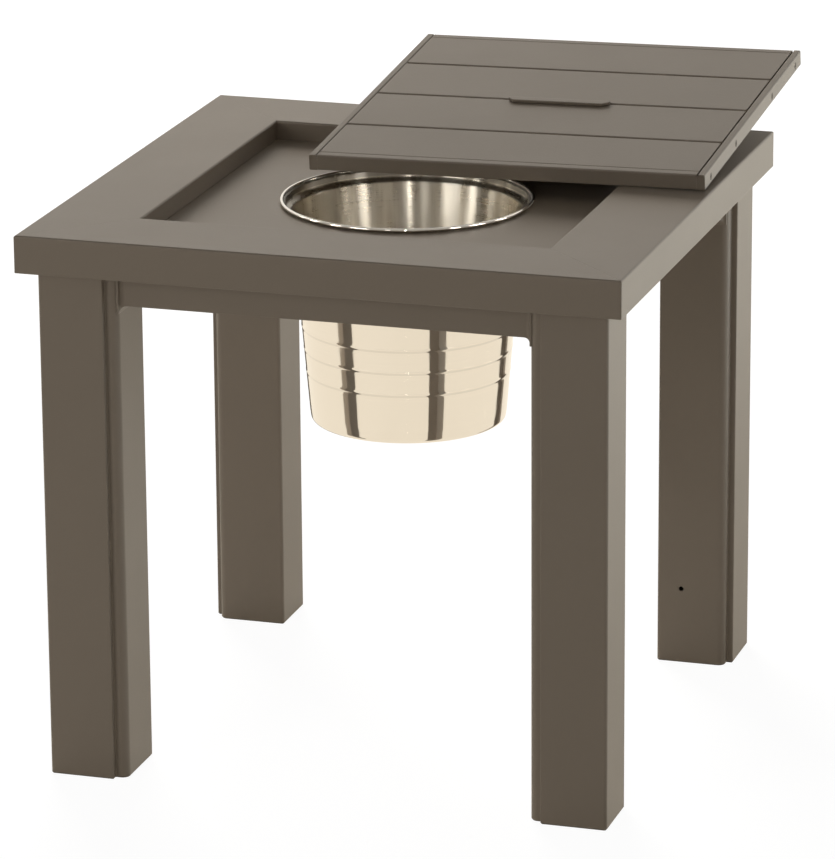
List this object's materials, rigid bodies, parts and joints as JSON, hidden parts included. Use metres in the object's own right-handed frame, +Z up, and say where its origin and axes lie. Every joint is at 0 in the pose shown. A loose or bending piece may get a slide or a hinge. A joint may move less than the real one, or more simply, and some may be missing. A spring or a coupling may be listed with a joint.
{
  "type": "ice bucket side table",
  "caption": "Square outdoor side table with a recessed top, a steel ice bucket hung by its rim in the middle, and a loose slatted lid with a finger pull set aside on it.",
  "frame": {"origin": "on the floor, under the middle of the whole object's box, with the lid where it lies; the table's own middle and the bucket's axis are 74 mm in front of it", "axes": "+Z up, -Y to the front, +X to the right as the table is seen from the front"},
  "size_m": [0.61, 0.7582, 0.613],
  "materials": {
    "table_coat": "satin",
    "lid_coat": "satin",
    "glide_plastic": "matte",
    "bucket_steel": "polished",
    "screw_steel": "satin",
    "rivet_metal": "satin"
  },
  "bodies": {
    "table": {"top_rail_front": "table_coat", "top_rail_back": "table_coat", "top_rail_left": "table_coat", "top_rail_right": "table_coat", "recess_panel": "table_coat", "panel_ledge_front": "table_coat", "panel_ledge_back": "table_coat", "panel_ledge_left": "table_coat", "panel_ledge_right": "table_coat", "leg_front_left": "table_coat", "leg_front_right": "table_coat", "leg_back_left": "table_coat", "leg_back_right": "table_coat", "apron_front": "table_coat", "apron_back": "table_coat", "apron_left": "table_coat", "apron_right": "table_coat", "foot_glide_front_left": "glide_plastic", "foot_glide_front_right": "glide_plastic", "foot_glide_back_left": "glide_plastic", "foot_glide_back_right": "glide_plastic"},
    "bucket": {"ice_bucket": "bucket_steel"},
    "lid": {"lid_plank_1": "lid_coat", "lid_plank_2": "lid_coat", "lid_plank_3": "lid_coat", "lid_plank_4": "lid_coat", "lid_trim_left": "lid_coat", "lid_trim_right": "lid_coat", "lid_pull": "lid_coat", "lid_trim_screws": "screw_steel", "lid_pull_rivets": "rivet_metal"}
  },
  "joints": [
    {"name": "bucket_lift", "type": "slide", "parent": "table", "child": "bucket", "axis": [0, 0, 1], "range_m": [0, 0.26]},
    {"name": "lid_lift", "type": "slide", "parent": "bucket", "child": "lid", "axis": [0, 0, 1], "range_m": [0, 0.2]}
  ]
}
